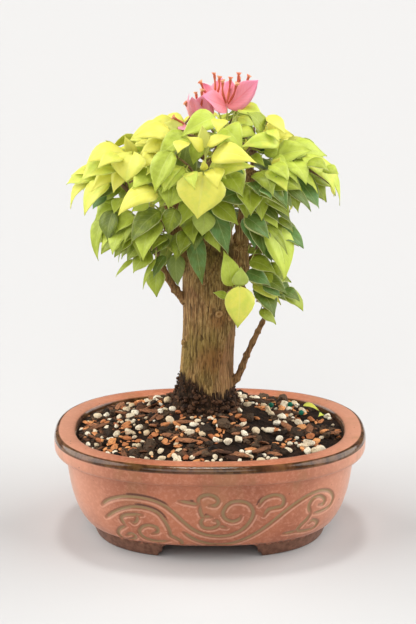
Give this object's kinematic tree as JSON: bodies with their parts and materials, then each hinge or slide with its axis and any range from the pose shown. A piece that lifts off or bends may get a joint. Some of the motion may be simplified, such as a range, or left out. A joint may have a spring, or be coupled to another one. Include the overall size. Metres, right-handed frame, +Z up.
{
  "type": "bougainvillea bonsai in an oval pot",
  "caption": "Small flowering bonsai tree with a thick upright trunk, an umbrella of drooping leaves and a tuft of pink bracts, in an oval footed ceramic pot.",
  "frame": {"origin": "on the ground under the middle of the oval pot", "axes": "+Z up, +X along the pot's long side to the right of the plant's front, which looks along -Y"},
  "size_m": [0.21, 0.16, 0.3039],
  "materials": {
    "pot_glaze": "thin satin glaze over red-brown clay, glossy brown at the rim",
    "potting_mix": "damp, loose, coarse",
    "bark": "rough fissured bark",
    "leaf": "thin, satin, yellow-green to dark green",
    "bract": "papery, matt pink"
  },
  "bodies": {
    "root": {"pot": "pot_glaze", "soil": "potting_mix", "trunk": "bark", "bough_left": "bark", "bough_right": "bark", "bough_top": "bark", "bough_front": "bark", "bough_front_left": "bark", "bough_top_left": "bark", "bough_far_left": "bark", "bough_front_right": "bark", "bough_far_right": "bark", "bough_top_back": "bark", "bough_back": "bark", "bough_back_left": "bark", "bough_back_right": "bark", "bough_low_left": "bark", "bough_low_right": "bark", "bough_mid_right": "bark", "foliage_front": "leaf", "foliage_front_left": "leaf", "foliage_left": "leaf", "foliage_top_left": "leaf", "foliage_top_right": "leaf", "foliage_right": "leaf", "foliage_front_right": "leaf", "foliage_top_back": "leaf", "foliage_back": "leaf", "foliage_back_left": "leaf", "foliage_back_right": "leaf", "foliage_low_left": "leaf", "foliage_low_front": "leaf", "foliage_low_right": "leaf", "foliage_low_back": "leaf", "foliage_foot_right": "leaf", "foliage_trunk_shoot": "leaf", "blossom": "bract"}
  },
  "joints": []
}
